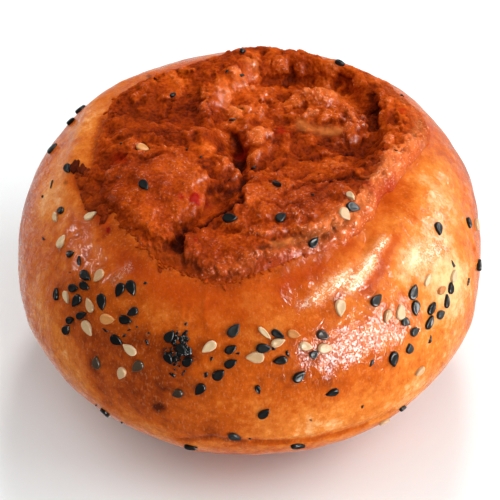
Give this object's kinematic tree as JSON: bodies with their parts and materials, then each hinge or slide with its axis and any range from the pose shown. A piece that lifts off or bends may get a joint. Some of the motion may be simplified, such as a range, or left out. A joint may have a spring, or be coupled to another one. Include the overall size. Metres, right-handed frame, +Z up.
{
  "type": "kimchi cheese brioche bun",
  "caption": "Round glazed brioche bun on a flat foot, with a kimchi and cheese topping baked into an off-centre well in its top and sesame seeds on crust and topping.",
  "frame": {"origin": "middle of the flat foot, at the surface the bun stands on", "axes": "+Z up; the side that faces the camera in the picture faces -Y, and +X is to the right there"},
  "size_m": [0.0962, 0.0976, 0.0618],
  "materials": {
    "glazed_crust": "egg-washed, baked golden brown, glossy",
    "kimchi_and_cheese": "moist, oily and granular"
  },
  "bodies": {
    "root": {"bun": "glazed_crust", "kimchi_cheese_topping": "kimchi_and_cheese"}
  },
  "joints": []
}
